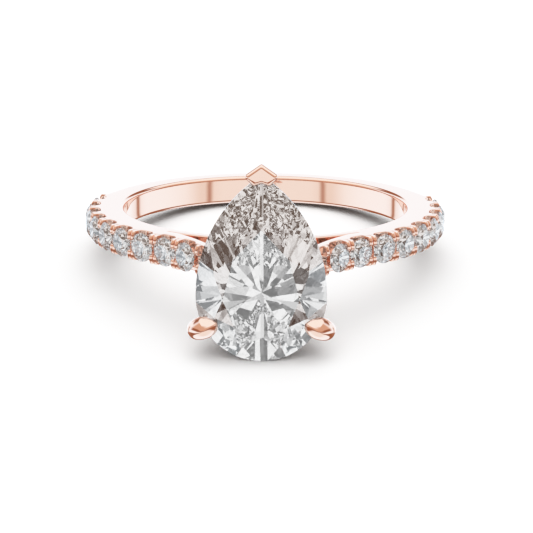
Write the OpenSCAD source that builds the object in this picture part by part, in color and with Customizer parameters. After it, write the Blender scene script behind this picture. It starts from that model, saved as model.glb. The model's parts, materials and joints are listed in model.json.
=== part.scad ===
// Pear-cut engagement ring: a slim band with side stones set in shared prongs, cathedral
// shoulders, and a three-prong head. It lies on its side as it would on a table, propped on
// the round end of the centre stone and on the lower edge of the band opposite the head.
// Origin: centre of the finger hole. The head points to -Y and the wearer's finger lies
// near Z. Each piece is modelled upright (finger axis along Z) and then leaned by lying().

/* [Finger] */
// Inside diameter of the ring, 16.5 is US size 6
finger_d = 16.5; // [16:0.1:17.5]
// Rounding of the two inner edges that touch the finger
comfort_r = 0.25; // [0.15:0.05:0.35]

/* [Band] */
// Width of the band along the finger
band_w = 1.65; // [1.6:0.05:1.9]
// Thickness of the band where it carries stones
band_t = 1.65; // [1.6:0.05:1.8]
// Thickness of the plain band opposite the head
rear_t = 1.33; // [1.2:0.05:1.5]
// Rounding of the band's outer edges
edge_r = 0.2; // [0.1:0.05:0.3]
// Angle on each side of the head where the band divides into bridge and shoulder
split_angle = 36.2; // [35:0.2:38]
// Thickness of the finger bridge under the head
bridge_t = 0.75; // [0.65:0.05:0.8]

/* [Side stones] */
// Diameter of one round side stone
melee_d = 1.6; // [1.5:0.05:1.6]
// Spacing of the side stones along the metal surface
melee_pitch = 1.69; // [1.68:0.01:1.72]
// Number of side stones on each side of the head
melee_count = 9; // [7:1:9]
// Depth of the U-shaped cut under each side stone
scallop_depth = 0.2; // [0.1:0.05:0.25]
// Diameter of one small shared prong between side stones
bead_d = 0.28; // [0.24:0.02:0.3]

/* [Centre stone] */
// Width of the pear-cut stone
pear_w = 6.98; // [6.7:0.02:7.1]
// Distance from the stone's widest line to its round end
pear_heel = 3.59; // [3.4:0.01:3.7]
// Distance from the stone's widest line to its point
pear_wing = 6.5; // [6.3:0.05:6.7]
// Distance from the middle of the band's width down to the stone's widest line
pear_drop = 1.34; // [1.2:0.02:1.5]
// Distance from the finger axis to the underside of the stone's girdle
girdle_y = 12.85; // [12.8:0.05:13.3]

/* [Head] */
// Diameter of a prong's post
post_d = 0.8; // [0.7:0.05:0.9]
// Where the two claws sit on the round end, in degrees below the widest line
claw_angle = 29; // [25:1:33]
// Height that the prong tips stand above the girdle
prong_rise = 1.02; // [0.9:0.02:1.1]

/* [Hidden] */
finger_r = finger_d / 2;
stone_r = finger_r + band_t;
rear_r = finger_r + rear_t;
bridge_r = finger_r + bridge_t;

// The plain part of the band is turned on a centre a little nearer the head,
// so that the band thins smoothly towards the back.
rear_shift = 0.4;
melee_step = melee_pitch / stone_r * 180 / PI;

// Cathedral shoulder: two arcs that leave the band and rise to the head.
shoulder_stones = 2;
shoulder_outer_bend = 11.5;
shoulder_inner_bend = 11;
shoulder_inner_start = [0.78, -0.93];
shoulder_inner_lean = 11.5;
shoulder_reach = 4.8;
arc_steps = 24;

// Cut proportions of the stones, as shares of their width.
melee_table = 0.56;
melee_crown = 0.15;
melee_pavilion = 0.43;
melee_girdle = 0.03;
melee_lift = 0.28;
pear_table = 0.58;
pear_crown = 0.95;
pear_pavilion = 2.95;
pear_girdle = 0.14;

// Head: two pear-shaped rails that follow the stone's outline at a smaller scale.
rail_scale = [0.7, 0.87];
rail_y = [11.35, 11.85];
base_scale = [0.2, 0.44];
base_y = 9.65;
foot_scale = 0.34;

// Lean of the ring as it lies: the girdle's lowest point and the rounded lower edge of
// the band's back touch one flat surface.
lean_run = girdle_y + rear_r - edge_r;
lean_rise = pear_drop + pear_heel - band_w / 2 + edge_r;
rest_tilt = atan2(lean_rise, lean_run) - asin(edge_r / norm([lean_run, lean_rise]));

gold = [0.90, 0.67, 0.56];
diamond = [0.90, 0.93, 0.96];
$fn = 96;
slack = 1;

SIDES = ["left", "right"];

// ---------- Frames ----------

// Leans an upright piece into the ring's resting pose.
module lying() {
  rotate([-rest_tilt, 0, 0])
    children();
}

// Turns a piece drawn on the XY plane so that it faces out of the head, its Y along the finger.
module facing_head() {
  rotate([90, 0, 0])
    children();
}

// Puts a piece at the pear stone's axis, its local Z pointing out of the head from the finger axis.
module at_pear_axis() {
  translate([0, 0, -pear_drop])
    facing_head()
      children();
}

// Puts a piece on the metal surface under side stone number k, counted from the head.
// Local Z points out of the metal and local Y lies along the finger.
module at_station(dir, k) {
  joint = shoulder_stones - 0.5;
  if (k > joint) {
    rotate([0, 0, dir * (split_angle + (k - joint) * melee_step)])
      translate([0, -stone_r, 0])
        facing_head()
          children();
  } else {
    turn = (joint - k) * melee_pitch / shoulder_outer_bend * 180 / PI;
    rotate([0, 0, dir * split_angle])
      translate([-dir * shoulder_outer_bend * sin(turn), 0, 0])
        translate([0, -stone_r - shoulder_outer_bend * (1 - cos(turn)), 0])
          rotate([0, 0, dir * turn])
            facing_head()
              children();
  }
}

// ---------- Band ----------

// Profile of a disc with rounded rims, to be turned about Z.
module rounded_disc_profile(r, w, rim) {
  translate([0, -w / 2 + rim])
    square([r, w - 2 * rim]);
  translate([0, -w / 2])
    square([r - rim, w]);
  for (s = [-1, 1])
    translate([r - rim, s * (w / 2 - rim)])
      circle(rim);
}

// The finger hole with the metal's rounded inner edges left standing.
module finger_hole() {
  rotate_extrude() {
    translate([0, -band_w / 2 - slack])
      square([finger_r, band_w + 2 * slack]);
    difference() {
      translate([0, -band_w / 2 - slack])
        square([finger_r + comfort_r, band_w + 2 * slack]);
      translate([0, -band_w / 2 + comfort_r])
        square([finger_r + slack, band_w - 2 * comfort_r]);
      for (s = [-1, 1])
        translate([finger_r + comfort_r, s * (band_w / 2 - comfort_r)])
          circle(comfort_r);
    }
  }
}

// Wedge that reaches from the finger axis through the head, out to each split.
module head_wedge(half_angle, reach) {
  linear_extrude(height = 2 * band_w, center = true)
    polygon([
      [0, 0],
      [-reach * tan(half_angle), -reach],
      [reach * tan(half_angle), -reach],
    ]);
}

// Seat of one side stone: a cone for its pavilion and a U-shaped cut across the band.
module stone_seat() {
  cut_half = melee_pitch / 2 - bead_d;
  cut_r = (cut_half * cut_half + scallop_depth * scallop_depth) / (2 * scallop_depth);
  depth = melee_d * melee_pavilion;
  translate([0, 0, melee_lift - depth])
    cylinder(h = depth, r1 = 0, r2 = melee_d / 2);
  translate([0, 0, melee_lift - depth - 0.15])
    cylinder(h = 0.3, d = 0.25);
  translate([0, 0, cut_r - scallop_depth])
    rotate([90, 0, 0])
      cylinder(h = 2 * band_w, r = cut_r, center = true);
}

module shank() {
  color(gold)
    lying()
      difference() {
        intersection() {
          cylinder(h = band_w, r = stone_r, center = true);
          translate([0, -rear_shift, 0])
            rotate_extrude()
              rounded_disc_profile(rear_r + rear_shift, band_w, edge_r);
        }
        finger_hole();
        head_wedge(split_angle, 2 * stone_r);
        for (dir = [-1, 1], k = [shoulder_stones:melee_count - 1])
          at_station(dir, k)
            stone_seat();
      }
}

module finger_bridge() {
  color(gold)
    lying()
      difference() {
        intersection() {
          cylinder(h = band_w, r = bridge_r, center = true);
          head_wedge(split_angle, 2 * bridge_r);
        }
        finger_hole();
      }
}

// Point on a shoulder's edge: starts at a joint point, leans by an angle, and bends outwards.
function swept(start, lean, bend, run) =
  start + bend * [sin(lean + run) - sin(lean), cos(lean) - cos(lean + run)];

// Side view of a shoulder in the frame of its joint with the band:
// X runs towards the head and Y points out of the band.
module shoulder_outline() {
  outer_turn = shoulder_reach / shoulder_outer_bend * 180 / PI;
  inner_turn = (shoulder_reach - shoulder_inner_start[0]) / shoulder_inner_bend * 180 / PI;
  polygon(concat(
    [[0, bridge_r - stone_r]],
    [for (i = [0:arc_steps])
      swept(shoulder_inner_start, shoulder_inner_lean, shoulder_inner_bend, inner_turn * i / arc_steps)],
    [for (i = [arc_steps:-1:0])
      swept([0, 0], 0, shoulder_outer_bend, outer_turn * i / arc_steps)]
  ));
}

module shoulder(dir) {
  color(gold)
    lying()
      difference() {
        rotate([0, 0, dir * split_angle])
          translate([0, -stone_r, 0])
            mirror([dir > 0 ? 1 : 0, 0, 0])
              mirror([0, 1, 0])
                linear_extrude(height = band_w, center = true)
                  shoulder_outline();
        cylinder(h = 2 * band_w, r = bridge_r, center = true);
        translate([-band_w * 2, -rail_y[0] - 2 * band_w, -band_w])
          cube([band_w * 4, band_w * 2, band_w * 2]);
        for (k = [0:shoulder_stones - 1])
          at_station(dir, k)
            stone_seat();
      }
}

module left_shoulder() {
  shoulder(-1);
}

module right_shoulder() {
  shoulder(1);
}

// ---------- Shared prongs of the band ----------

// One prong: a short round post with a domed top, made by turning its profile.
module band_prong() {
  r = bead_d / 2;
  rise = 0.3;
  rotate_extrude($fn = 24) {
    square([r, rise]);
    intersection() {
      translate([0, rise])
        circle(r);
      translate([0, rise])
        square([r, r]);
    }
  }
}

// Two prongs on each edge of the band, between one side stone and the next.
module prong_cluster(dir, k) {
  near_stone = melee_pitch / 2 - melee_d * 0.43;
  at_station(dir, k)
    for (x = [-near_stone, near_stone], y = [-1, 1])
      if ((k > 0 || x * dir > 0) && (k < melee_count - 1 || x * dir < 0))
        translate([x, y * (band_w / 2 - bead_d / 2 - 0.02), 0])
          band_prong();
}

module band_prongs(dir) {
  color(gold)
    lying()
      for (k = [-0.5:1:melee_count - 0.5])
        prong_cluster(dir, k);
}

module left_band_prongs() {
  band_prongs(-1);
}

module right_band_prongs() {
  band_prongs(1);
}

// ---------- Stones ----------

// Pear outline about the point where the widest line meets the long axis: an ellipse
// round the heel and two arcs that meet at the point. Angle 0 is +X, 90 is the point.
wing_r = (pear_w * pear_w / 4 + pear_wing * pear_wing) / pear_w;
wing_sweep = asin(pear_wing / wing_r);

function pear_rim(a) =
  a <= 90 ? pear_wing_point(a / 90) :
  a <= 180 ? mirrored(pear_wing_point((180 - a) / 90)) :
  [pear_w / 2 * cos(a), pear_heel * sin(a)];

function pear_wing_point(share) =
  [pear_w / 2 - wing_r * (1 - cos(wing_sweep * share)), wing_r * sin(wing_sweep * share)];

function mirrored(p) = [-p[0], p[1]];

function round_rim(a) = melee_d / 2 * [cos(a), sin(a)];

function ring_at(rim, share, z) = [for (p = rim) [p[0] * share, p[1] * share, z]];

// Every n-th point of a list, starting at one of them.
function every(points, n, start) = [for (i = [start:n:len(points) - 1]) points[i]];

// A brilliant cut over any outline. rim lists the girdle anticlockwise, with 2 * steps
// points for each of the eight main facets. Local Z = 0 is the underside of the girdle.
module brilliant(rim, steps, table, crown, pavilion, girdle) {
  n = len(rim);
  eight = n / 8;
  star_share = (1 + table) / 2 + 0.03;
  star_z = girdle + crown * 0.6;
  low_share = 0.22;
  low_z = -pavilion * 0.8;
  corners = every(rim, eight, 0);
  middles = every(rim, eight, steps);

  // Point lists in order: table, star tips, girdle top, girdle bottom, lower tips, culet.
  points = concat(
    ring_at(corners, table, girdle + crown),
    ring_at(middles, star_share, star_z),
    ring_at(rim, 1, girdle),
    ring_at(rim, 1, 0),
    ring_at(middles, low_share, low_z),
    [[0, 0, -pavilion]]
  );
  star = 8;
  top = 16;
  bottom = 16 + n;
  low = 16 + 2 * n;
  culet = 24 + 2 * n;
  faces = concat(
    [[for (i = [7:-1:0]) i]],
    [for (i = [0:7]) [i, (i + 1) % 8, star + i]],
    [for (i = [0:7]) [i, star + i, top + i * eight]],
    [for (i = [0:7]) [i, top + i * eight, star + (i + 7) % 8]],
    [for (i = [0:7], j = [0:eight - 1]) [star + i, top + (i * eight + j + 1) % n, top + i * eight + j]],
    [for (i = [0:n - 1]) [top + i, top + (i + 1) % n, bottom + (i + 1) % n, bottom + i]],
    [for (i = [0:7], j = [0:eight - 1]) [low + i, bottom + i * eight + j, bottom + (i * eight + j + 1) % n]],
    [for (i = [0:7]) [culet, bottom + i * eight, low + i]],
    [for (i = [0:7]) [culet, low + (i + 7) % 8, bottom + i * eight]]
  );
  polyhedron(points = points, faces = faces, convexity = 2);
}

module melee(dir, i) {
  rim = [for (j = [0:15]) round_rim(j * 22.5)];
  color(diamond)
    lying()
      at_station(dir, i - 1)
        translate([0, 0, melee_lift])
          brilliant(rim, 1, melee_table, melee_d * melee_crown, melee_d * melee_pavilion, melee_d * melee_girdle);
}

module pear_shape() {
  steps = 4;
  rim = [for (j = [0:16 * steps - 1]) pear_rim(j * 22.5 / steps)];
  translate([0, 0, girdle_y])
    brilliant(rim, steps, pear_table, pear_crown, pear_pavilion, pear_girdle);
}

module pear_stone() {
  color(diamond)
    lying()
      at_pear_axis()
        pear_shape();
}

// ---------- Head ----------

// Flat loop that follows the pear outline between two scales of it.
module pear_loop(scales) {
  rim = [for (j = [0:71]) pear_rim(j * 5)];
  difference() {
    polygon([for (p = rim) scales[1] * p]);
    polygon([for (p = rim) scales[0] * p]);
  }
}

module head_base() {
  color(gold)
    lying()
      difference() {
        at_pear_axis()
          translate([0, 0, finger_r])
            linear_extrude(height = base_y - finger_r)
              pear_loop(base_scale);
        cylinder(h = 4 * pear_w, r = bridge_r, center = true);
      }
}

module gallery_rail() {
  color(gold)
    lying()
      difference() {
        at_pear_axis()
          translate([0, 0, rail_y[0]])
            linear_extrude(height = rail_y[1] - rail_y[0])
              pear_loop(rail_scale);
        at_pear_axis() {
          claw_post(180 + claw_angle);
          claw_post(360 - claw_angle);
          v_post();
        }
      }
}

// Smooth point on a path through four guide points, t from 0 to 1.
function bezier(g, t) =
  pow(1 - t, 3) * g[0] + 3 * pow(1 - t, 2) * t * g[1] + 3 * (1 - t) * t * t * g[2] + pow(t, 3) * g[3];

function unit(v) = v / norm(v);

// A round rod swept along a list of points, one radius for each point.
module rod(path, radii, sides) {
  n = len(path);
  ahead = [for (i = [0:n - 1]) unit(path[min(i + 1, n - 1)] - path[max(i - 1, 0)])];
  across = unit(cross(ahead[0], path[n - 1] - path[0] + [0.01, 0.02, 0.03]));
  rings = [
    for (i = [0:n - 1])
      let (u = unit(across - (across * ahead[i]) * ahead[i]), v = cross(ahead[i], u))
        for (j = [0:sides - 1])
          path[i] + radii[i] * (cos(360 * j / sides) * u + sin(360 * j / sides) * v)
  ];
  walls = [
    for (i = [0:n - 2], j = [0:sides - 1])
      let (k = (j + 1) % sides)
        for (half = [0, 1])
          half == 0 ? [i * sides + j, (i + 1) * sides + j, (i + 1) * sides + k] :
            [i * sides + j, (i + 1) * sides + k, i * sides + k]
  ];
  caps = [[for (j = [0:sides - 1]) j], [for (j = [sides - 1:-1:0]) (n - 1) * sides + j]];
  polyhedron(points = rings, faces = concat(walls, caps), convexity = 4);
}

// Outward direction of the heel's outline at an angle.
function heel_normal(a) = unit([cos(a) * 2 / pear_w, sin(a) / pear_heel]);

function lifted(p, z) = [p[0], p[1], z];

// A claw's post: from the base, out past the gallery rail, and up to the girdle.
module claw_post(a) {
  e = pear_rim(a);
  out = heel_normal(a);
  guide = [
    lifted(foot_scale * e, base_y - 0.35),
    lifted(0.8 * e, base_y + 0.4),
    lifted(e - 0.1 * out, rail_y[0]),
    lifted(e + 0.16 * out, girdle_y + 0.2),
  ];
  path = [for (i = [0:10]) bezier(guide, i / 10)];
  rod(path, [for (p = path) post_d / 2], 20);
}

// A claw's tip: swells over the girdle and tapers to a point that lies on the crown.
module claw_tip(a) {
  e = pear_rim(a);
  out = heel_normal(a);
  guide = [
    lifted(e + 0.16 * out, girdle_y + 0.1),
    lifted(e + 0.3 * out, girdle_y + 0.75),
    lifted(e - 0.1 * out, girdle_y + 0.7),
    lifted(e - 0.92 * out, girdle_y + 0.62),
  ];
  swell = [0.4, 0.47, 0.53, 0.56, 0.57, 0.55, 0.52, 0.46, 0.38, 0.27, 0.12];
  path = [for (i = [0:10]) bezier(guide, i / 10)];
  for (i = [0:9])
    hull()
      for (end = [i, i + 1])
        translate(path[end])
          sphere(swell[end], $fn = 20);
}

module claw(a) {
  color(gold)
    lying()
      difference() {
        at_pear_axis()
          intersection() {
            union() {
              claw_post(a);
              claw_tip(a);
            }
            cylinder(h = girdle_y + prong_rise, r = 2 * pear_wing);
          }
        at_pear_axis()
          pear_shape();
        cylinder(h = 4 * pear_w, r = bridge_r, center = true);
        at_pear_axis()
          linear_extrude(height = base_y)
            pear_loop(base_scale);
      }
}

module claw_left() {
  claw(180 + claw_angle);
}

module claw_right() {
  claw(360 - claw_angle);
}

// The V-prong's post runs behind the stone's keel from the base to the point.
module v_post() {
  guide = [
    [0, foot_scale * pear_wing, base_y - 0.35],
    [0, 0.7 * pear_wing, base_y + 0.2],
    [0, pear_wing - 0.2, rail_y[0] - 0.3],
    [0, pear_wing + 0.1, girdle_y - 0.3],
  ];
  path = [for (i = [0:10]) bezier(guide, i / 10)];
  rod(path, [for (p = path) post_d / 2], 20);
}

// Chevron that folds over the stone's point, as seen from the front.
module chevron() {
  tip = pear_wing + 0.66;
  polygon([
    [0, tip],
    [-0.86, tip - 0.6],
    [-0.86, tip - 0.8],
    [-0.46, tip - 1.2],
    [0, tip - 1.02],
    [0.46, tip - 1.2],
    [0.86, tip - 0.8],
    [0.86, tip - 0.6],
  ]);
}

module v_prong() {
  color(gold)
    lying()
      difference() {
        at_pear_axis() {
          translate([0, 0, girdle_y - 0.65])
            linear_extrude(height = 0.65 + prong_rise - 0.15)
              chevron();
          v_post();
        }
        at_pear_axis()
          pear_shape();
        cylinder(h = 4 * pear_w, r = bridge_r, center = true);
        at_pear_axis()
          linear_extrude(height = base_y)
            pear_loop(base_scale);
      }
}

shank();
finger_bridge();
left_shoulder();
right_shoulder();
left_band_prongs();
right_band_prongs();
head_base();
gallery_rail();
claw_left();
claw_right();
v_prong();
pear_stone();
for (i = [1:melee_count])
  melee(-1, i);
for (i = [1:melee_count])
  melee(1, i);
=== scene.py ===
import json
import math
import bmesh
import bpy
from mathutils import Matrix, Vector


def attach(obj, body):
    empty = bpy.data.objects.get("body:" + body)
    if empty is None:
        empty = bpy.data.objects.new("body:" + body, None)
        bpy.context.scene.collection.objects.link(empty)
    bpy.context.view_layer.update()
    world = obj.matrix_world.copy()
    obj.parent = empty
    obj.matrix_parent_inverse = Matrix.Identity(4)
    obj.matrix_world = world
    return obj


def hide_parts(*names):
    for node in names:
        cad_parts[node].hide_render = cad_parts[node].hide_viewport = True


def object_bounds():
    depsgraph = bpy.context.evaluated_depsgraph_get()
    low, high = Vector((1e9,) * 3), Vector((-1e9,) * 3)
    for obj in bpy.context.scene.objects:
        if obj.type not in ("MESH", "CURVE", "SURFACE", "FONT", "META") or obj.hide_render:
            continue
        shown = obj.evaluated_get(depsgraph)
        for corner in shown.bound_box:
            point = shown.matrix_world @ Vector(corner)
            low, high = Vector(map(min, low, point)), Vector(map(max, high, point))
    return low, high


# A rose gold engagement ring that lies on its side on a white table. Every piece is drawn
# upright in millimetres, with the finger's axis along Z and the head towards -Y, and then
# leaned into the ring's resting pose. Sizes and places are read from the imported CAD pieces.

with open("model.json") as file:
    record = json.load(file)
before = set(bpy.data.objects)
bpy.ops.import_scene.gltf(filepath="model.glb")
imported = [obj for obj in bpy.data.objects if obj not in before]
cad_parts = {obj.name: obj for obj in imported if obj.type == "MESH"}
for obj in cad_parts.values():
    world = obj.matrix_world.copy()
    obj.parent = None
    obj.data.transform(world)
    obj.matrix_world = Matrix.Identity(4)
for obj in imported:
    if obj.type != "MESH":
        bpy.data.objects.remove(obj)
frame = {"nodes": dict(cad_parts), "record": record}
cad_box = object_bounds()
scene = bpy.context.scene

MM = 0.001
SIDES = {"left": -1, "right": 1}
MELEE_COUNT = sum(name.startswith("melee_left_") for name in frame["nodes"])
SHOULDER_STONES = 2
COMFORT_SHARE = 0.8

# ---------- The frame, read upright ----------

mount = frame["record"]["mounts"][0]
axis = Vector(mount["axis"])
LYING = Matrix.Rotation(-math.atan2(axis.y, axis.z), 4, "X")


def upright(node):
    """A CAD node's corners in millimetres, with the finger's axis along Z."""
    standing = LYING.inverted()
    return [standing @ v.co / MM for v in frame["nodes"][node].data.vertices]


def radius_of(p):
    """Distance from the finger's axis."""
    return math.hypot(p.x, p.y)


band = upright("shank")
FINGER_R = mount["dims"]["r_mm"]
HALF_W = max(p.z for p in band)
COMFORT_R = COMFORT_SHARE * (HALF_W - mount["dims"]["length_mm"] / 2)
STONE_R = max(radius_of(p) for p in band)
REAR_R = max(p.y for p in band)
SPLIT = min(math.atan2(abs(p.x), -p.y) for p in band)
BRIDGE_R = max(radius_of(p) for p in upright("finger_bridge"))


class RoundStone:
    """Place and cut of one round side stone: origin under its girdle, axis out of the band."""

    def __init__(self, node):
        points = {tuple(round(c, 4) for c in p) for p in upright(node)}
        points = [Vector(p) for p in sorted(points)]
        middle = sum(points, Vector()) / len(points)
        culet = min(points, key=radius_of)
        self.out = (middle - culet).normalized()
        spread = [(p - culet) - self.out * (p - culet).dot(self.out) for p in points]
        self.radius = max(v.length for v in spread)
        heights = [(p - culet).dot(self.out) for p in points]
        rim = [h for h, v in zip(heights, spread) if v.length > 0.99 * self.radius]
        self.pavilion = min(rim)
        self.girdle = max(rim) - min(rim)
        self.crown = max(heights) - max(rim)
        self.origin = culet + self.out * self.pavilion
        self.theta = math.atan2(self.origin.x, -self.origin.y)


STONES = {
    side: [RoundStone(f"melee_{side}_{i + 1}") for i in range(MELEE_COUNT)] for side in SIDES
}


class PearStone:
    """Place and outline of the centre stone: X across, Y along the finger, Z out of the head."""

    def __init__(self, points):
        self.culet = max(points, key=lambda p: p.y)
        self.half_w = max(p.x for p in points)
        self.wing = max(p.z for p in points) - self.culet.z
        self.heel = self.culet.z - min(p.z for p in points)
        rim = [-p.y for p in points if p.x > 0.999 * self.half_w]
        self.base = min(rim)
        self.girdle = max(rim) - min(rim)
        self.pavilion = self.base + self.culet.y
        self.crown = -min(p.y for p in points) - max(rim)
        self.wing_r = (self.half_w**2 + self.wing**2) / (2 * self.half_w)
        self.sweep = math.asin(self.wing / self.wing_r)


PEAR = PearStone(upright("pear_stone"))


def pear_rim(turn):
    """Point of the pear outline and its normal, turn from 0 to 8: 0 is +X, 2 the point, 6 the heel."""
    turn %= 8
    if turn > 4:
        a = math.radians(turn * 45)
        point = Vector((PEAR.half_w * math.cos(a), PEAR.heel * math.sin(a)))
        return point, Vector((math.cos(a) / PEAR.half_w, math.sin(a) / PEAR.heel)).normalized()
    if turn == 2:
        return Vector((0, PEAR.wing)), Vector((0, 1))
    mirror = -1 if turn > 2 else 1
    share = (4 - turn if turn > 2 else turn) / 2
    a = PEAR.sweep * share
    point = Vector((PEAR.half_w - PEAR.wing_r * (1 - math.cos(a)), PEAR.wing_r * math.sin(a)))
    return Vector((mirror * point.x, point.y)), Vector((mirror * math.cos(a), math.sin(a)))


def on_head(x, y, z):
    """A point given in the pear's frame, z from the underside of its girdle, as an upright one."""
    return Vector((x, -PEAR.base - z, PEAR.culet.z + y))


def station(side, k):
    """Origin on the metal, outward and along directions at stone k, where a half lies between two."""
    row = STONES[side]
    low = min(max(math.floor(k), 0), MELEE_COUNT - 2)
    share = k - low
    a, b = row[low], row[low + 1]
    if low >= SHOULDER_STONES:
        theta = a.theta + (b.theta - a.theta) * share
        out = Vector((math.sin(theta), -math.cos(theta), 0))
        origin = out * STONE_R
    else:
        out = (a.out.lerp(b.out, share)).normalized()
        lift = radius_of(row[MELEE_COUNT // 2 + 1].origin) - STONE_R
        origin = a.origin + (b.origin - a.origin) * share - out * lift
    along = out.cross(Vector((0, 0, 1))).normalized()
    return origin, out, along * -SIDES[side]


# ---------- Mesh helpers ----------

WELD = 0.0002
SHARP_ANGLE = math.radians(50)
FLAT_WEIGHT = 90
ASIDE = Vector((0.1, 0.2, 0.97))


def skin(loops, around=True, join_ends=False, caps=True):
    """Points and faces of a surface through loops of equal length."""
    n = len(loops[0])
    points = [p for loop in loops for p in loop]
    faces = []
    for i in range(len(loops) if join_ends else len(loops) - 1):
        here, there = i * n, (i + 1) % len(loops) * n
        for j in range(n if around else n - 1):
            k = (j + 1) % n
            faces.append((here + j, here + k, there + k, there + j))
    if caps and not join_ends:
        faces.append(tuple(range(n)))
        faces.append(tuple(range(len(points) - n, len(points))))
    return points, faces


def merged(*parts):
    """Several (points, faces) pairs as one."""
    points, faces = [], []
    for part_points, part_faces in parts:
        start = len(points)
        points += part_points
        faces += [tuple(start + i for i in face) for face in part_faces]
    return points, faces


def piece(name, part, node, material, smooth=True):
    """Makes a visible piece from upright points in millimetres and lets it stand for a CAD node.
    Gold is hidden from rays that have passed through a stone, so the stones stay colourless."""
    points, faces = part
    mesh = bpy.data.meshes.new(name)
    mesh.from_pydata([LYING @ (Vector(p) * MM) for p in points], [], faces)
    bm = bmesh.new()
    bm.from_mesh(mesh)
    bmesh.ops.remove_doubles(bm, verts=bm.verts, dist=WELD * MM)
    bmesh.ops.recalc_face_normals(bm, faces=bm.faces)
    bm.to_mesh(mesh)
    bm.free()
    mesh.materials.append(material)
    mesh.polygons.foreach_set("use_smooth", [smooth] * len(mesh.polygons))
    if smooth:
        mesh.set_sharp_from_angle(angle=SHARP_ANGLE)
    obj = bpy.data.objects.new(name, mesh)
    scene.collection.objects.link(obj)
    if smooth:
        flats = obj.modifiers.new("even_normals", "WEIGHTED_NORMAL")
        flats.mode = "FACE_AREA"
        flats.weight = FLAT_WEIGHT
        flats.keep_sharp = True
    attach(obj, "root")
    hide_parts(node)
    obj.visible_transmission = material is not GOLD
    return obj


def arc(centre, radius, start, end, steps):
    """Points of an arc in a plane, ends included, angles in degrees."""
    return [
        (centre[0] + radius * math.cos(a), centre[1] + radius * math.sin(a))
        for a in (math.radians(start + (end - start) * i / steps) for i in range(steps + 1))
    ]


def bezier(guide, steps):
    """Points along a cubic curve with four guide points."""
    a, b, c, d = guide
    path = []
    for i in range(steps + 1):
        t = i / steps
        path.append((1 - t) ** 3 * a + 3 * (1 - t) ** 2 * t * b + 3 * (1 - t) * t * t * c + t**3 * d)
    return path


def rod(path, radii, sides=24):
    """A round rod along a path that never follows ASIDE, one radius for each point."""
    across = (path[1] - path[0]).cross(ASIDE).normalized()
    loops = []
    for i, p in enumerate(path):
        ahead = (path[min(i + 1, len(path) - 1)] - path[max(i - 1, 0)]).normalized()
        u = (across - ahead * across.dot(ahead)).normalized()
        v = ahead.cross(u)
        turns = [2 * math.pi * j / sides for j in range(sides)]
        loops.append([p + radii[i] * (math.cos(a) * u + math.sin(a) * v) for a in turns])
    return skin(loops)


def polar(r, theta, z):
    """Upright point at an angle from the head, positive towards +X."""
    return Vector((r * math.sin(theta), -r * math.cos(theta), z))


def smoothstep(low, high, x):
    """Soft step from 0 at low to 1 at high."""
    t = min(max((x - low) / (high - low), 0), 1)
    return t * t * (3 - 2 * t)


# ---------- Materials ----------

ROSE = (0.92, 0.68, 0.58, 1)
DEEP_ROSE = (0.90, 0.655, 0.555, 1)
GOLD_ROUGHNESS = (0.03, 0.07)
BUFF_STRETCH = (1, 1, 5)
DIAMOND_ROUGHNESS = (0, 0.004)
DIAMOND_INDEX = 2.417
NOISE_RANGE = (0.3, 0.7)


def new_material(name, slot):
    material = bpy.data.materials.new(name)
    material.use_nodes = True
    material["slot"] = slot
    tree = material.node_tree
    return material, tree, tree.nodes["Principled BSDF"]


def noise(tree, scale, detail, stretch=(1, 1, 1)):
    """Noise over the object's own coordinates, scale in features per millimetre."""
    place = tree.nodes.new("ShaderNodeTexCoord")
    mapping = tree.nodes.new("ShaderNodeMapping")
    mapping.inputs["Scale"].default_value = stretch
    texture = tree.nodes.new("ShaderNodeTexNoise")
    texture.inputs["Scale"].default_value = scale / MM
    texture.inputs["Detail"].default_value = detail
    tree.links.new(place.outputs["Object"], mapping.inputs["Vector"])
    tree.links.new(mapping.outputs["Vector"], texture.inputs["Vector"])
    return texture.outputs["Fac"]


def ramp(tree, value, low, high):
    """Maps a noise's usual range onto a range of numbers."""
    node = tree.nodes.new("ShaderNodeMapRange")
    node.inputs["From Min"].default_value = NOISE_RANGE[0]
    node.inputs["From Max"].default_value = NOISE_RANGE[1]
    node.inputs["To Min"].default_value = low
    node.inputs["To Max"].default_value = high
    tree.links.new(value, node.inputs["Value"])
    return node.outputs["Result"]


def bump(tree, shader, height, strength, distance):
    """Raises the surface by a height value, distance in millimetres."""
    node = tree.nodes.new("ShaderNodeBump")
    node.inputs["Strength"].default_value = strength
    node.inputs["Distance"].default_value = distance * MM
    tree.links.new(height, node.inputs["Height"])
    tree.links.new(node.outputs["Normal"], shader.inputs["Normal"])


def polished_gold():
    """Mirror-polished rose gold with the faint buffing marks and haze of a finished ring."""
    material, tree, shader = new_material("polished_rose_gold", "rose_gold")
    tint = tree.nodes.new("ShaderNodeMix")
    tint.data_type = "RGBA"
    tint.inputs["A"].default_value = ROSE
    tint.inputs["B"].default_value = DEEP_ROSE
    tree.links.new(noise(tree, 0.35, 2), tint.inputs["Factor"])
    tree.links.new(tint.outputs["Result"], shader.inputs["Base Color"])
    shader.inputs["Metallic"].default_value = 1
    haze = ramp(tree, noise(tree, 1.5, 4), *GOLD_ROUGHNESS)
    tree.links.new(haze, shader.inputs["Roughness"])
    bump(tree, shader, noise(tree, 9, 3, BUFF_STRETCH), 0.05, 0.002)
    return material


def cut_diamond(name, slot):
    """Colourless diamond with lapped, nearly perfect facets."""
    material, tree, shader = new_material(name, slot)
    shader.inputs["Base Color"].default_value = (1, 1, 1, 1)
    shader.inputs["Transmission Weight"].default_value = 1
    shader.inputs["IOR"].default_value = DIAMOND_INDEX
    lapping = ramp(tree, noise(tree, 3, 2), *DIAMOND_ROUGHNESS)
    tree.links.new(lapping, shader.inputs["Roughness"])
    return material


GOLD = polished_gold()
CENTRE_DIAMOND = cut_diamond("centre_diamond", "centre_diamond")
SIDE_DIAMOND = cut_diamond("side_diamond", "side_diamond")

# ---------- Band ----------

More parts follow.
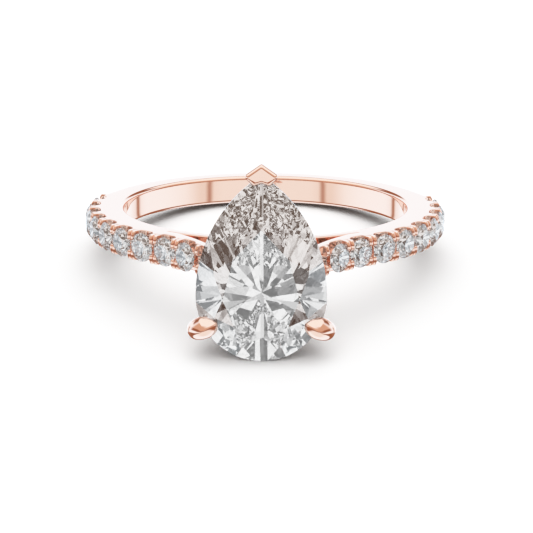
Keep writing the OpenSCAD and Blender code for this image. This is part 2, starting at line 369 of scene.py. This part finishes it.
# Lengths are millimetres and EDGE_BLEND is radians. CUT_POWER squares the U cut's bottom, and
# SEAT_REACH is in stone radii.
EDGE_R = 0.2
PAVE_EDGE_R = 0.035
EDGE_BLEND = 0.2
BRIDGE_EDGE_R = 0.06
BRIDGE_RIM = 0.4
REAR_SHIFT = 0.4
STATION_GAP = (STONES["left"][3].theta - STONES["left"][4].theta) * STONE_R
PRONG_HALF = 0.14
BAR_TO_STONE = 0.688
PRONG_X = STATION_GAP / 2 - BAR_TO_STONE
CUT_HALF = STATION_GAP / 2 - PRONG_X - PRONG_HALF
CUT_DEPTH = 0.28
CUT_POWER = 3.5
SIDE_MARGIN = 0.03
SEAT_GAP = 0.04
SEAT_REACH = 1.1
COLUMNS = 26


def rear_radius(theta):
    """Outer radius of the plain band, turned on a centre a little nearer the head."""
    run = REAR_SHIFT * math.cos(theta)
    return run + math.sqrt((REAR_R + REAR_SHIFT) ** 2 - REAR_SHIFT**2 + run**2)


def sunk(s, z, stone):
    """How far the U cut and the stone's seat sink the metal, s along the band from the stone."""
    cut = 0
    if abs(s) < CUT_HALF:
        cut = CUT_DEPTH * (1 - abs(s / CUT_HALF) ** CUT_POWER)
    slope = stone.pavilion / stone.radius
    lift = SEAT_GAP + PRONG_HALF / 2
    seat = (stone.radius + lift - math.hypot(s, z)) * slope - lift
    return max(cut, min(seat, stone.pavilion))


def columns(edge):
    """Places across the band's outer face, between its rounded edges."""
    return [HALF_W - edge - 2 * (HALF_W - edge) * i / COLUMNS for i in range(COLUMNS + 1)]


def profile(outer, edge, depth):
    """Section of the band as (r, z) points. depth(z) gives how far the outer face is cut away."""
    corner = FINGER_R + COMFORT_R
    flat = HALF_W - COMFORT_R
    top = outer - depth(HALF_W)
    ring = outer - CUT_DEPTH - edge - SIDE_MARGIN
    section = arc((corner, flat), COMFORT_R, 180, 90, 8)
    section += [(ring, HALF_W)]
    section += arc((top - edge, HALF_W - edge), edge, 90, 0, 6)
    section += [(outer - depth(z), z) for z in columns(edge)[1:-1]]
    section += arc((top - edge, edge - HALF_W), edge, 0, -90, 6)
    section += [(ring, -HALF_W)]
    section += arc((corner, -flat), COMFORT_R, -90, -180, 8)
    section += [(FINGER_R, -flat + 2 * flat * i / 6) for i in range(1, 6)]
    return section


def shank():
    """The band behind the shoulders, cut for stones in front and plain at the rear."""
    stones = [s for side in SIDES for s in STONES[side][SHOULDER_STONES:]]
    pave_end = max(s.theta for s in stones) + CUT_HALF / STONE_R
    fine, coarse = math.radians(0.25), math.radians(1.2)
    angles = [SPLIT]
    while angles[-1] < math.pi:
        angles.append(angles[-1] + (fine if angles[-1] < pave_end else coarse))
    angles = angles[:-1] + [2 * math.pi - a for a in reversed(angles[:-1])]
    loops = []
    for theta in angles:
        turn = theta if theta < math.pi else theta - 2 * math.pi
        near = min(stones, key=lambda s: abs(s.theta - turn))
        s = (turn - near.theta) * STONE_R
        outer = min(STONE_R, rear_radius(theta))
        plain = smoothstep(pave_end, pave_end + EDGE_BLEND, abs(turn))
        edge = PAVE_EDGE_R + (EDGE_R - PAVE_EDGE_R) * plain
        reach = abs(s) < SEAT_REACH * near.radius
        section = profile(outer, edge, lambda z: max(0, sunk(s, z, near)) if reach else 0)
        loops.append([polar(r, theta, z) for r, z in section])
    piece("polished_shank", skin(loops), "shank", GOLD)


def bridge():
    """The inner half of the band under the head. Its side faces reach full width at the rim only."""
    steps = 72
    section = profile(BRIDGE_R, BRIDGE_EDGE_R, lambda z: 0)
    section = [(r, z) for r, z in section if r > BRIDGE_R - BRIDGE_RIM or abs(z) < HALF_W]
    loops = []
    for i in range(steps + 1):
        theta = -SPLIT + 2 * SPLIT * i / steps
        loops.append([polar(r, theta, z) for r, z in section])
    piece("polished_bridge", skin(loops), "finger_bridge", GOLD)


# Radii of the outer and inner arc, where the inner arc starts, its lean, and the shoulder's length.
SHOULDER_BEND = (11.5, 11)
SHOULDER_START = (0.78, 0.93)
SHOULDER_LEAN = math.radians(11.5)
SHOULDER_REACH = 4.8
SHOULDER_FOOT_R = 0.05
SHOULDER_THIN = 0.08
SHOULDER_TUCK = 0.04


def shoulder(side):
    """Cathedral shoulder between an outer arc, which carries stones, and an inner arc below it."""
    turn = SIDES[side]
    joint_out = polar(1, turn * SPLIT, 0)
    joint_along = polar(1, turn * SPLIT - turn * math.pi / 2, 0)
    joint = joint_out * STONE_R
    stones = STONES[side][:SHOULDER_STONES]
    outer_bend, inner_bend = SHOULDER_BEND
    under_rail = -PEAR.base - heights_of("gallery_rail")[0]
    steps = 110
    loops = []
    for i in range(steps + 1):
        run = SHOULDER_REACH * i / steps
        a = run / outer_bend
        x, y = outer_bend * math.sin(a), outer_bend * (1 - math.cos(a))
        out = joint_out * math.cos(a) - joint_along * math.sin(a)
        top = joint + joint_along * x + joint_out * y
        inner_run = max(0, run - SHOULDER_START[0])
        b = SHOULDER_LEAN + inner_run / inner_bend
        low_x = SHOULDER_START[0] + inner_bend * (math.sin(b) - math.sin(SHOULDER_LEAN))
        low_y = -SHOULDER_START[1] + inner_bend * (math.cos(SHOULDER_LEAN) - math.cos(b))
        if run < SHOULDER_START[0]:
            low_x = run
            low_y = BRIDGE_R - STONE_R - SHOULDER_TUCK * run / SHOULDER_START[0]
        foot = joint + joint_along * low_x + joint_out * low_y
        near = min(stones, key=lambda s: (s.origin - top).length)
        s = (top - near.origin).dot(out.cross(Vector((0, 0, 1))))
        reach = abs(s) < SEAT_REACH * near.radius
        height = (top - foot).length
        up = (top - foot).normalized()
        edge = PAVE_EDGE_R
        rim = height - (max(0, sunk(s, HALF_W, near)) if reach else 0)
        section = arc((SHOULDER_FOOT_R, HALF_W - SHOULDER_FOOT_R), SHOULDER_FOOT_R, 180, 90, 4)
        section += arc((rim - edge, HALF_W - edge), edge, 90, 0, 6)
        for z in columns(edge)[1:-1]:
            depth = max(0, sunk(s, z, near)) if reach else 0
            section.append((max(height - depth, SHOULDER_THIN), z))
        section += arc((rim - edge, edge - HALF_W), edge, 0, -90, 6)
        section += arc((SHOULDER_FOOT_R, SHOULDER_FOOT_R - HALF_W), SHOULDER_FOOT_R, -90, -180, 4)
        loop = [foot + up * r + Vector((0, 0, z)) for r, z in section]
        loops.append([Vector((p.x, max(p.y, under_rail), p.z)) for p in loop])
    piece(f"polished_shoulder_{side}", skin(loops), f"{side}_shoulder", GOLD)


# A bar's length across the band and height over it. Its tip rounds off over the last share.
PRONG_LENGTH = 0.6
PRONG_RISE = 0.41
PRONG_INSET = 0.004
PRONG_BLEND = 0.12
TIP_START = 0.72
TIP_SHARE = 0.28


def prong_bar(origin, out, along, edge, x):
    """One shared prong: a narrow rounded bar, flush with the band's side, bent over the stones."""
    loops = []
    steps = 14
    for i in range(steps + 1):
        u = i / steps
        rounding = math.sqrt(max(0, 1 - max(0, (u - TIP_START) / TIP_SHARE) ** 2))
        start = smoothstep(-PRONG_BLEND, PRONG_BLEND, u)
        half = PRONG_HALF * max(rounding, 0.05) * (0.7 + 0.3 * start)
        arch = 0.72 + 0.28 * math.sin(math.pi * min(u / 0.55, 1) / 2)
        rise = PRONG_RISE * arch * (0.35 + 0.65 * rounding)
        rise *= 0.9 + 0.1 * start
        z = edge * (HALF_W - PRONG_INSET - PRONG_LENGTH * u)
        section = [(-half, -CUT_DEPTH)] + arc((0, rise - half), half, 180, 0, 12) + [(half, -CUT_DEPTH)]
        loops.append([origin + along * (x + sx) + out * r + Vector((0, 0, z)) for sx, r in section])
    return skin(loops)


def band_prongs(side):
    """A pair of bars at each edge of the band between two stones, and a single one at each end."""
    parts = []
    for i in range(MELEE_COUNT + 1):
        k = i - 0.5
        origin, out, along = station(side, k)
        for x in (-PRONG_X, PRONG_X):
            if (i == 0 and x > 0) or (i == MELEE_COUNT and x < 0):
                continue
            parts += [prong_bar(origin, out, along, edge, x) for edge in (-1, 1)]
    bars = piece(f"shared_prongs_{side}", merged(*parts), f"{side}_band_prongs", GOLD)
    cut_seats(bars, [side_solid(stone) for stone in STONES[side]])


# ---------- Stones ----------

# A stone's table, inset and seat growth are shares of its own size. Sides are those of the block
# that it is ground from.
CUT_TOLERANCE = 1e-5
PEAR_TABLE = 0.58
ROUND_TABLE = 0.56
PEAR_SIDES = 96
ROUND_SIDES = 48
ROUND_INSET = 0.995
SEAT_GROWTH = 1.004


def cut_by(bm, point, normal):
    """Grinds one flat facet: takes away what lies past a plane and closes the cut."""
    geom = bm.verts[:] + bm.edges[:] + bm.faces[:]
    result = bmesh.ops.bisect_plane(
        bm, geom=geom, dist=CUT_TOLERANCE, plane_co=point, plane_no=normal, clear_outer=True
    )
    edges = [e for e in result["geom_cut"] if isinstance(e, bmesh.types.BMEdge)]
    if len(edges) > 2:
        bmesh.ops.holes_fill(bm, edges=[e for e in bm.edges if e.is_boundary], sides=0)


def brilliant(rim, sides, table, crown, pavilion, girdle, star=0.5, low=0.24):
    """A brilliant cut over any outline. rim(turn) gives a point and its normal, turn from 0 to 8.
    Z = 0 is the underside of the girdle. Returns points and faces."""
    outline = [rim(8 * i / sides)[0] for i in range(sides)]
    bm = bmesh.new()
    bottom = [bm.verts.new((p.x, p.y, -pavilion)) for p in outline]
    top = [bm.verts.new((p.x, p.y, girdle + crown)) for p in outline]
    bm.faces.new(bottom[::-1])
    bm.faces.new(top)
    for i in range(sides):
        j = (i + 1) % sides
        bm.faces.new((bottom[i], bottom[j], top[j], top[i]))
    culet = Vector((0, 0, -pavilion))

    def facet(turn, z, through):
        """Cuts the plane that touches the outline at a turn and passes through a point."""
        p, normal = rim(turn)
        edge = Vector((p.x, p.y, z))
        run = (edge - through).dot(Vector((normal.x, normal.y, 0)))
        rise = through.z - z
        plane = Vector((normal.x * abs(rise), normal.y * abs(rise), math.copysign(run, rise)))
        cut_by(bm, edge, plane.normalized())
        return edge, plane.normalized()

    def height_at(plane, x, y):
        """Height of a cut plane over a point of the outline's plane."""
        point, normal = plane
        return point.z - ((x - point.x) * normal.x + (y - point.y) * normal.y) / normal.z

    corners = [Vector((*(rim(i)[0] * table), girdle + crown)) for i in range(8)]
    mains = [facet(i, girdle, corners[i]) for i in range(8)]
    lowers = [facet(i, 0, culet) for i in range(8)]
    for i in range(8):
        k = (i + 1) % 8
        side = rim(i + 0.5)[0]
        edge_mid = (corners[i] + corners[k]) / 2
        tip = edge_mid.lerp(Vector((side.x, side.y, 0)), star)
        tip.z = min(height_at(mains[i], tip.x, tip.y), height_at(mains[k], tip.x, tip.y))
        normal = (corners[k] - corners[i]).cross(tip - corners[i]).normalized()
        cut_by(bm, corners[i], normal if normal.z > 0 else -normal)
        deep = Vector((side.x * low, side.y * low, 0))
        deep.z = max(height_at(lowers[i], deep.x, deep.y), height_at(lowers[k], deep.x, deep.y))
        for quarter in (0.25, 0.75):
            facet(i + quarter, girdle, tip)
            facet(i + quarter, 0, deep)
    bm.normal_update()
    bm.verts.ensure_lookup_table()
    bm.verts.index_update()
    points = [v.co.copy() for v in bm.verts]
    faces = [tuple(v.index for v in f.verts) for f in bm.faces]
    bm.free()
    return points, faces


def circle_rim(turn):
    """Point of the unit circle and its normal, turn from 0 to 8."""
    a = math.radians(turn * 45)
    direction = Vector((math.cos(a), math.sin(a)))
    return direction, direction


PEAR_CUT = brilliant(pear_rim, PEAR_SIDES, PEAR_TABLE, PEAR.crown, PEAR.pavilion, PEAR.girdle)
ONE = STONES["left"][0]
ROUND_HEIGHTS = [height / ONE.radius for height in (ONE.crown, ONE.pavilion, ONE.girdle)]
ROUND_CUT = brilliant(circle_rim, ROUND_SIDES, ROUND_TABLE, *ROUND_HEIGHTS)


def centre_solid():
    """The cut pear stone in its place."""
    points, faces = PEAR_CUT
    return [on_head(*p) for p in points], faces


def side_solid(stone):
    """The round cut in a side stone's place, a hair narrower than the CAD stone."""
    points, faces = ROUND_CUT
    up = Vector((0, 0, 1))
    along = stone.out.cross(up)
    size = stone.radius * ROUND_INSET
    return [stone.origin + size * (p.x * along + p.y * up + p.z * stone.out) for p in points], faces


def cut_seats(obj, solids):
    """Cuts away the metal where the stones sit, with a hair of air round them."""
    grown = []
    for points, faces in solids:
        heart = sum(points, Vector()) / len(points)
        grown.append(([heart + (p - heart) * SEAT_GROWTH for p in points], faces))
    points, faces = merged(*grown)
    mesh = bpy.data.meshes.new("seats")
    mesh.from_pydata([LYING @ (p * MM) for p in points], [], faces)
    cutter = bpy.data.objects.new("seats", mesh)
    scene.collection.objects.link(cutter)
    cut = obj.modifiers.new("seats", "BOOLEAN")
    cut.operation = "DIFFERENCE"
    cut.solver = "EXACT"
    cut.use_self = True
    cut.object = cutter
    obj.modifiers.move(len(obj.modifiers) - 1, 0)
    graph = bpy.context.evaluated_depsgraph_get()
    finished = bpy.data.meshes.new_from_object(obj.evaluated_get(graph))
    obj.modifiers.clear()
    obj.data = finished
    bpy.data.objects.remove(cutter)


def centre_stone():
    """The pear stone as a visible piece, with flat facets."""
    piece("cut_pear_stone", centre_solid(), "pear_stone", CENTRE_DIAMOND, False)


def side_stones():
    """The round stones as visible pieces, with flat facets."""
    for side, row in STONES.items():
        for i, stone in enumerate(row):
            name = f"melee_{side}_{i + 1}"
            piece(f"cut_{name}", side_solid(stone), name, SIDE_DIAMOND, False)


# ---------- Head ----------

# Posts in millimetres. Scales are shares of the pear outline.
POST_R = 0.4
FOOT_SCALE = 0.34
POST_STEPS = 24
POST_SIDES = 32
LOOP_EDGE_R = 0.1
RAIL_SCALES = (0.7, 0.87)
BASE_SCALES = (0.2, 0.44)
BASE_LIFT = 0.5


def pear_rail(name, node, scales, heights, steps=144):
    """A loop between two scalings of the pear outline, with a rounded square section."""
    edge = LOOP_EDGE_R
    loops = []
    low, high = heights
    for i in range(steps):
        p = pear_rim(8 * i / steps)[0]
        width = (scales[1] - scales[0]) * p.length
        middle = p * (scales[0] + scales[1]) / 2
        out = p.normalized()
        section = []
        for cx, cy, start in ((1, 1, 0), (-1, 1, 90), (-1, -1, 180), (1, -1, 270)):
            corner = (cx * (width / 2 - edge), cy * ((high - low) / 2 - edge))
            section += arc(corner, edge, start, start + 90, 4)
        loops.append([
            on_head(middle.x + out.x * w, middle.y + out.y * w, (low + high) / 2 + h) for w, h in section
        ])
    loop = piece(name, skin(loops, join_ends=True), node, GOLD)
    cut_seats(loop, [centre_solid()])


def heights_of(node):
    """Lowest and highest place of a head piece, from the underside of the pear's girdle."""
    ys = [-p.y - PEAR.base for p in upright(node)]
    return min(ys), max(ys)


# A claw stands 29 degrees past the stone's widest point. Its reach inward and outward, half its
# width and its height are millimetres.
CLAW_TURN = (180 + 29) / 45
CLAW_IN = 0.9
CLAW_OUT = 0.98
CLAW_HALF = 0.62
CLAW_TOP = 1.0
CLAW_SIDES = 72
CLAW_RINGS = 18
RIDGE_HEIGHT = 0.07
RIDGE_WIDTH = 0.12


def claw_outline(a):
    """Almond round the claw's top as (u, v), pointed where it reaches over the stone at a = 0."""
    if math.cos(a) > 0:
        return CLAW_IN * math.cos(a), math.copysign(CLAW_HALF * abs(math.sin(a)) ** 1.3, math.sin(a))
    return CLAW_OUT * math.cos(a), math.copysign(CLAW_HALF * abs(math.sin(a)) ** 0.8, math.sin(a))


def claw(side):
    """A claw with an almond-shaped, faintly ridged top on a post that rises from the head base."""
    mirror = -SIDES[side]
    e, out = pear_rim(CLAW_TURN)
    across = Vector((out.y, -out.x))
    crown_slope = PEAR.crown / (0.42 * PEAR.half_w)

    def place(u, v, w):
        q = e - out * u + across * v
        return on_head(mirror * q.x, q.y, w)

    def foot_of(u):
        """Height of the claw's lower edge: it follows the crown inward and droops outward."""
        return 0.1 + 0.62 * max(u, 0) * crown_slope + 0.5 * min(u, 0)

    outline = [claw_outline(2 * math.pi * j / CLAW_SIDES) for j in range(CLAW_SIDES)]
    loops = []
    for i in range(CLAW_RINGS + 1):
        a = math.pi / 2 * (1 - i / CLAW_RINGS)
        share, rise = max(math.cos(a), 0.002), math.sin(a)
        loop = []
        for u, v in outline:
            foot = foot_of(u)
            ridge = RIDGE_HEIGHT * math.exp(-(((v * share) / RIDGE_WIDTH) ** 2)) * (1 - share)
            peak = CLAW_TOP - 0.1 * abs(v * share) / CLAW_HALF + 0.2 * min(u * share, 0)
            height = foot + (peak - foot) * rise**0.85 + ridge * 0.5
            loop.append(place(u * share, v * share, height))
        loops.append(loop)
    for drop in (0.12, 0.3, 0.55):
        shrink = 1 - 0.35 * drop
        loops.append([place(u * shrink, v * shrink, foot_of(u) - drop) for u, v in outline])
    root = e * FOOT_SCALE
    low = heights_of("head_base")[1]
    guide = [
        Vector((root.x, root.y, low - 0.35)),
        Vector((0.8 * e.x, 0.8 * e.y, low + 0.4)),
        Vector((e.x - 0.1 * out.x, e.y - 0.1 * out.y, heights_of("gallery_rail")[0])),
        Vector((e.x + 0.2 * out.x, e.y + 0.2 * out.y, 0.35)),
    ]
    path = [on_head(mirror * p.x, p.y, p.z) for p in bezier(guide, POST_STEPS)]
    post = rod(path, [POST_R] * len(path), POST_SIDES)
    prong = piece(f"claw_prong_{side}", merged(skin(loops), post), f"claw_{side}", GOLD)
    cut_seats(prong, [centre_solid()])


# How far the V prong stands past the stone's point and above its girdle.
V_TIP = 0.71
V_TOP = 0.87
V_BEVEL = 0.24
V_CORNERS = (0.12, 0.14, 0.2, 0.2, 0.22, 0.2, 0.2, 0.14)


def rounded_outline(corners, radius, steps=8):
    """A closed outline with each corner turned into a curve of its own size."""
    outline = []
    for i, corner in enumerate(corners):
        before, after = corners[i - 1], corners[(i + 1) % len(corners)]
        a, b = (before - corner).normalized(), (after - corner).normalized()
        half = a.angle(b) / 2
        nearest = min((before - corner).length, (after - corner).length)
        reach = min(radius[i] / math.tan(half), 0.45 * nearest)
        start, end = corner + a * reach, corner + b * reach
        for k in range(steps + 1):
            t = k / steps
            outline.append((1 - t) ** 2 * start + 2 * (1 - t) * t * corner + t * t * end)
    return outline


def chevron(tip, shoulder_at, side_at, lobe, notch, softness):
    """Outline of the V prong's top: a point, two shoulders and two lobes either side of a notch."""
    half = [shoulder_at, side_at, lobe]
    corners = [Vector((0, tip))] + [Vector((-x, tip - y)) for x, y in half]
    corners += [Vector((0, tip - notch))] + [Vector((x, tip - y)) for x, y in reversed(half)]
    return rounded_outline(corners, [radius * softness for radius in V_CORNERS])


def v_prong():
    """The bevelled chevron over the stone's point, on a post that rises from the head base."""
    tip = PEAR.wing + V_TIP
    rim = chevron(tip, (0.86, 0.6), (0.84, 0.78), (0.43, 1.2), 1.03, 1)
    flat = chevron(tip - 0.2, (0.65, 0.47), (0.64, 0.56), (0.3, 0.74), 0.65, 0.5)
    middle = Vector((0, tip - 0.8))
    bevel_foot = V_TOP - V_BEVEL
    loops = []
    for depth, taper in ((-0.35, 0.16), (0.0, 0.08), (0.35, 0.02), (bevel_foot, 0)):
        loops.append([on_head(*(p + (middle - p) * taper), depth) for p in rim])
    bevels = 8
    for k in range(bevels + 1):
        a = math.pi / 2 * k / bevels
        blend = 1 - math.cos(a)
        height = bevel_foot + V_BEVEL * math.sin(a)
        loops.append([on_head(*p.lerp(q, blend), height) for p, q in zip(rim, flat)])
    loops.append([on_head(*(q * 0.98 + Vector((0, tip - 0.5)) * 0.02), V_TOP) for q in flat])
    low = heights_of("head_base")[1]
    guide = [
        Vector((0, FOOT_SCALE * PEAR.wing, low - 0.35)),
        Vector((0, 0.7 * PEAR.wing, low + 0.2)),
        Vector((0, PEAR.wing - 0.2, heights_of("gallery_rail")[0] - 0.3)),
        Vector((0, PEAR.wing + 0.12, -0.1)),
    ]
    path = [on_head(*p) for p in bezier(guide, POST_STEPS)]
    post = rod(path, [POST_R] * len(path), POST_SIDES)
    prong = piece("v_shaped_prong", merged(skin(loops), post), "v_prong", GOLD)
    cut_seats(prong, [centre_solid()])


# ---------- Build ----------

shank()
bridge()
for side in SIDES:
    shoulder(side)
    band_prongs(side)
    claw(side)
pear_rail("rounded_gallery_rail", "gallery_rail", RAIL_SCALES, heights_of("gallery_rail"))
base_heights = (FINGER_R + BASE_LIFT - PEAR.base, heights_of("head_base")[1])
pear_rail("rounded_head_base", "head_base", BASE_SCALES, base_heights)
v_prong()
centre_stone()
side_stones()

# ---------- Camera ----------

# Distance of the eye in metres, the lens, and what it looks at in millimetres.
EYE = 0.130
LENS = 150
AIM_UP = -2.83
AIM_RIGHT = 0.078
AZ, EL = math.radians(0.898), math.radians(22.92)
back = Vector((math.sin(AZ) * math.cos(EL), -math.cos(AZ) * math.cos(EL), math.sin(EL)))
right = Vector((math.cos(AZ), math.sin(AZ), 0))
up = back.cross(right)
camera_data = bpy.data.cameras.new("camera")
camera = bpy.data.objects.new("camera", camera_data)
scene.collection.objects.link(camera)
camera_data.lens = LENS
camera_data.sensor_width = 36
camera.location = back * EYE
target = (AIM_UP * up + AIM_RIGHT * right) * MM
camera.rotation_euler = (target - camera.location).to_track_quat("-Z", "Y").to_euler()
scene.camera = camera

# ---------- Table and light ----------


TABLE_SIZE = 4
TABLE_WHITE = (0.95, 0.95, 0.95, 1)


def table():
    """A white table that the gold doesn't mirror and that isn't seen through the stones."""
    low = cad_box[0][2]
    bpy.ops.mesh.primitive_plane_add(size=TABLE_SIZE, location=(0, 0, low))
    floor = bpy.context.object
    floor.name = "table"
    material = bpy.data.materials.new("white_table")
    material.use_nodes = True
    shader = material.node_tree.nodes["Principled BSDF"]
    shader.inputs["Base Color"].default_value = TABLE_WHITE
    shader.inputs["Roughness"].default_value = 0.9
    floor.data.materials.append(material)
    floor.visible_transmission = False
    floor.visible_glossy = False


# Brightness and colour of the studio: GEM values are for the stones, CEILING and FLOOR_GLOW for the
# table, BACKDROP for the camera, and the rest for the gold.
ROOM = 1.3
CEILING = 2.4
FLOOR_GLOW = 0.08
BACKDROP = 3
FRONT_LIGHT = (1.12, 1.12, 1.12, 1)
BACK_LIGHT = (1.28, 1.4, 1.52, 1)
WARM_CARD = (0.38, 0.17, 0.095, 1)
WARM_GLOW = (0.8, 0.55, 0.42, 1)
GEM_DARK = 0.03
GEM_LIGHT = 0.98
CARD_COLUMNS = 5
CARD_ROWS = 8
CARD_EDGE = 0.05
GLOW_SHARE = 0.45

# Stretches of the studio's walls: turns from the front in radians, heights along the finger's axis.
# LAMP is straight up.
AHEAD = (-1, 1.9)
BEHIND = (2.1, 4)
BACK_HALF = (1.2, 4)
SIDE_GAPS = ((0.8, 0.86), (2.22, 2.32))
SIDE_GLOWS = (0.92, 2.3)
GAP_HEIGHTS = (-0.5, 0.1)
OVERHEAD = (0.6, 2)
FRONT_GLOW = (0.1, 0.65)
FRONT_CARD = (-0.08, 0.18)
LOW_CARD = (-0.72, -0.34)
HIGH_CARD = (0.33, 0.6)
LAMP = (0.55, 2)


def band_of(tree, value, low, high, soft):
    """1 where a value lies between two limits, with soft ends."""
    rise = tree.nodes.new("ShaderNodeMapRange")
    rise.interpolation_type = "SMOOTHSTEP"
    rise.inputs["From Min"].default_value = low - soft
    rise.inputs["From Max"].default_value = low + soft
    fall = tree.nodes.new("ShaderNodeMapRange")
    fall.interpolation_type = "SMOOTHSTEP"
    fall.inputs["From Min"].default_value = high - soft
    fall.inputs["From Max"].default_value = high + soft
    fall.inputs["To Min"].default_value = 1
    fall.inputs["To Max"].default_value = 0
    tree.links.new(value, rise.inputs["Value"])
    tree.links.new(value, fall.inputs["Value"])
    return math_node(tree, "MULTIPLY", rise.outputs["Result"], fall.outputs["Result"])


def math_node(tree, operation, a, b):
    """One calculation on two sockets or numbers."""
    node = tree.nodes.new("ShaderNodeMath")
    node.operation = operation
    for socket, value in zip(node.inputs, (a, b)):
        if isinstance(value, (int, float)):
            socket.default_value = value
        else:
            tree.links.new(value, socket)
    return node.outputs[0]


def both(tree, a, b):
    """The product of two values."""
    return math_node(tree, "MULTIPLY", a, b)


def blended(tree, share, low, high):
    """Blends two colours by a value."""
    node = tree.nodes.new("ShaderNodeMix")
    node.data_type = "RGBA"
    tree.links.new(share, node.inputs[0])
    for socket, value in ((node.inputs[6], low), (node.inputs[7], high)):
        if isinstance(value, tuple):
            socket.default_value = value
        else:
            tree.links.new(value, socket)
    return node.outputs[2]


def grey(level):
    return (level, level, level, 1)


def studio():
    """A white studio. The gold sees a bright horizon and ceiling between warm dark cards, the
    stones see a grid of cards, and the table is lit from overhead."""
    world = bpy.data.worlds.new("studio")
    scene.world = world
    world.use_nodes = True
    tree = world.node_tree
    tree.nodes.clear()
    output = tree.nodes.new("ShaderNodeOutputWorld")
    place = tree.nodes.new("ShaderNodeTexCoord")
    split = tree.nodes.new("ShaderNodeSeparateXYZ")
    tree.links.new(place.outputs["Generated"], split.inputs[0])
    x, y, z = split.outputs
    turn = math_node(tree, "ARCTAN2", x, both(tree, y, -1))
    wide = math_node(tree, "ABSOLUTE", turn, 0)
    lean = both(tree, y, axis.y), both(tree, z, axis.z)
    rise = math_node(tree, "ADD", *lean)
    ahead = band_of(tree, wide, *AHEAD, 0.2)
    behind = band_of(tree, wide, *BEHIND, 0.2)
    gold_light = blended(tree, band_of(tree, wide, *BACK_HALF, 0.5), FRONT_LIGHT, BACK_LIGHT)
    gold_light = blended(tree, band_of(tree, rise, *OVERHEAD, 0.1), gold_light, grey(ROOM))
    front_glow = both(tree, ahead, band_of(tree, rise, *FRONT_GLOW, 0.06))
    gold_light = blended(tree, front_glow, gold_light, WARM_GLOW)
    front_card = both(tree, ahead, band_of(tree, rise, *FRONT_CARD, CARD_EDGE))
    gold_light = blended(tree, front_card, gold_light, WARM_CARD)
    gold_light = blended(tree, band_of(tree, rise, *LOW_CARD, CARD_EDGE), gold_light, WARM_CARD)
    high_card = both(tree, behind, band_of(tree, rise, *HIGH_CARD, 0.06))
    gold_light = blended(tree, high_card, gold_light, WARM_CARD)
    level_gap = band_of(tree, rise, *GAP_HEIGHTS, 0.04)
    for gap_turns in SIDE_GAPS:
        gap = both(tree, band_of(tree, wide, *gap_turns, CARD_EDGE), level_gap)
        gold_light = blended(tree, gap, gold_light, WARM_CARD)
    for middle in SIDE_GLOWS:
        glow = both(tree, band_of(tree, wide, middle - 0.1, middle + 0.1, 0.22), level_gap)
        gold_light = blended(tree, both(tree, glow, GLOW_SHARE), gold_light, WARM_GLOW)
    column = math_node(tree, "SINE", both(tree, turn, CARD_COLUMNS), 0)
    row = math_node(tree, "SINE", both(tree, z, CARD_ROWS), 0)
    grid = band_of(tree, both(tree, column, row), 0, 2, 0.25)
    gem_light = blended(tree, grid, grey(GEM_DARK), grey(GEM_LIGHT))
    lamp = band_of(tree, z, *LAMP, 0.1)
    table_light = blended(tree, lamp, grey(FLOOR_GLOW), grey(CEILING))
    path = tree.nodes.new("ShaderNodeLightPath")
    through_stone = math_node(tree, "MINIMUM", path.outputs["Transmission Depth"], 1)
    colour = blended(tree, through_stone, gold_light, gem_light)
    from_table = math_node(tree, "MINIMUM", path.outputs["Diffuse Depth"], 1)
    colour = blended(tree, from_table, colour, table_light)
    colour = blended(tree, path.outputs["Is Camera Ray"], colour, grey(BACKDROP))
    light = tree.nodes.new("ShaderNodeBackground")
    tree.links.new(colour, light.inputs["Color"])
    tree.links.new(light.outputs[0], output.inputs["Surface"])


PRINT_WHITE = 1.3
PRINT_CURVE = ((0.2, 0.24), (0.4, 0.5), (0.55, 0.68), (0.7, 0.83), (0.85, 0.94))


def bright_print():
    """Soft shoulder for the highlights, so that bright gold turns pale and the table turns white."""
    settings = scene.view_settings
    settings.view_transform = "Standard"
    settings.use_curve_mapping = True
    curves = settings.curve_mapping
    curves.white_level = (PRINT_WHITE, PRINT_WHITE, PRINT_WHITE)
    curve = curves.curves[3]
    for x, y in PRINT_CURVE:
        curve.points.new(x, y)
    curves.update()


table()
studio()
bright_print()
scene.cycles.max_bounces = 24
scene.cycles.transmission_bounces = 20
scene.cycles.glossy_bounces = 24
scene.cycles.use_denoising = True
